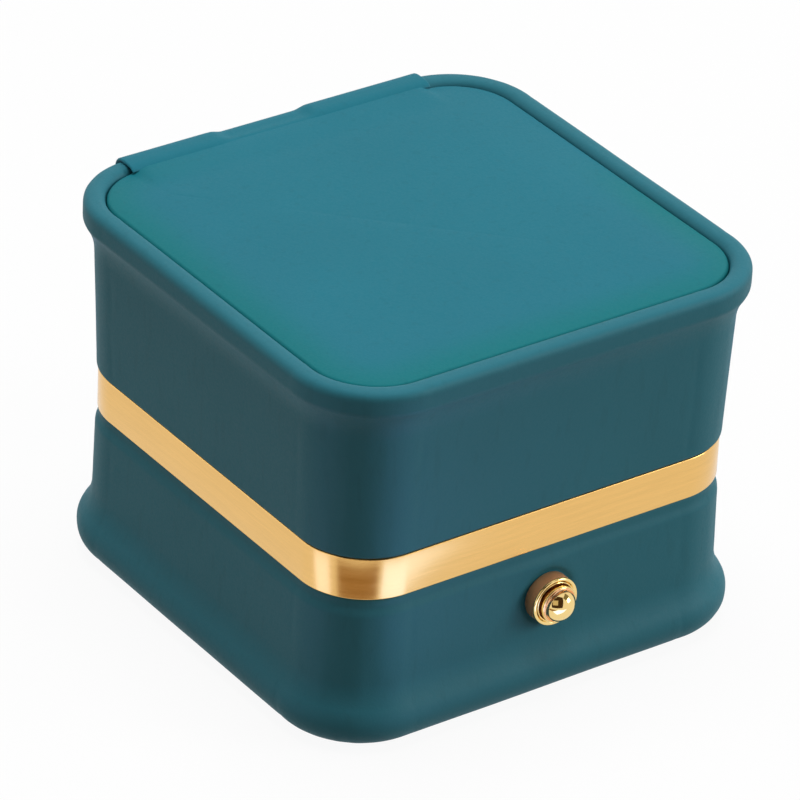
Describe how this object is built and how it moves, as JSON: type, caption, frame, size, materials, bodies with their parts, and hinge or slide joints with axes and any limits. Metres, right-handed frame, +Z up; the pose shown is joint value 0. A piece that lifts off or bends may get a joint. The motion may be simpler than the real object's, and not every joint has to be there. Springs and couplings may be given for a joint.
{
  "type": "hinged ring box",
  "caption": "Small square ring box in grained leather with a hinged lid, a metal waist band, a push-button latch, a padded top panel and a padded inside.",
  "frame": {"origin": "centre of the box in plan, on the face that it rests on", "axes": "+Z up, -Y out of the front where the button is, +Y towards the hinge, +X along the front"},
  "size_m": [0.0646, 0.0674, 0.0505],
  "materials": {
    "leather_teal": "matte grained covering",
    "leather_strap": "matte grained covering",
    "band_gold": "lengthwise brushed",
    "button_gold": "polished",
    "bezel_rose_gold": "satin side, polished rim",
    "shell_plastic": "moulded",
    "board_grey": "pressed board with a dark paper face",
    "flock_cream": "short flock",
    "velour_cream": "soft velour over foam",
    "steel_spring": "spring strip",
    "steel_plain": "zinc plated"
  },
  "bodies": {
    "base": {"base_shell": "shell_plastic", "base_cover": "leather_teal", "gold_band": "band_gold", "bottom_board": "board_grey", "base_liner": "flock_cream", "ring_pad_front": "velour_cream", "ring_pad_rear": "velour_cream", "button_bezel": "bezel_rose_gold", "button_nut": "steel_plain", "catch_spring": "steel_spring", "catch_screws": "steel_plain", "hinge_leaf_base": "steel_plain", "hinge_rivets_base": "steel_plain", "hinge_pin": "steel_plain", "hinge_strap": "leather_strap"},
    "button": {"push_button": "button_gold", "button_clip": "steel_spring"},
    "lid": {"lid_shell": "shell_plastic", "lid_cover": "leather_teal", "top_panel_board": "board_grey", "top_panel_pad": "leather_teal", "lid_liner": "flock_cream", "lid_pad": "velour_cream", "strike_plate": "steel_plain", "strike_screws": "steel_plain", "hinge_leaf_lid": "steel_plain", "hinge_rivets_lid": "steel_plain"}
  },
  "joints": [
    {"name": "lid_hinge", "type": "hinge", "parent": "base", "child": "lid", "pos_m": [0, 0.0301, 0.02615], "axis": [-1, 0, 0], "range_deg": [0, 100], "deforming": ["hinge_strap"]},
    {"name": "button_press", "type": "slide", "parent": "base", "child": "button", "axis": [0, 1, 0], "range_m": [0, 0.001], "stiffness_N_per_m": 1500, "deforming": ["catch_spring"]}
  ]
}
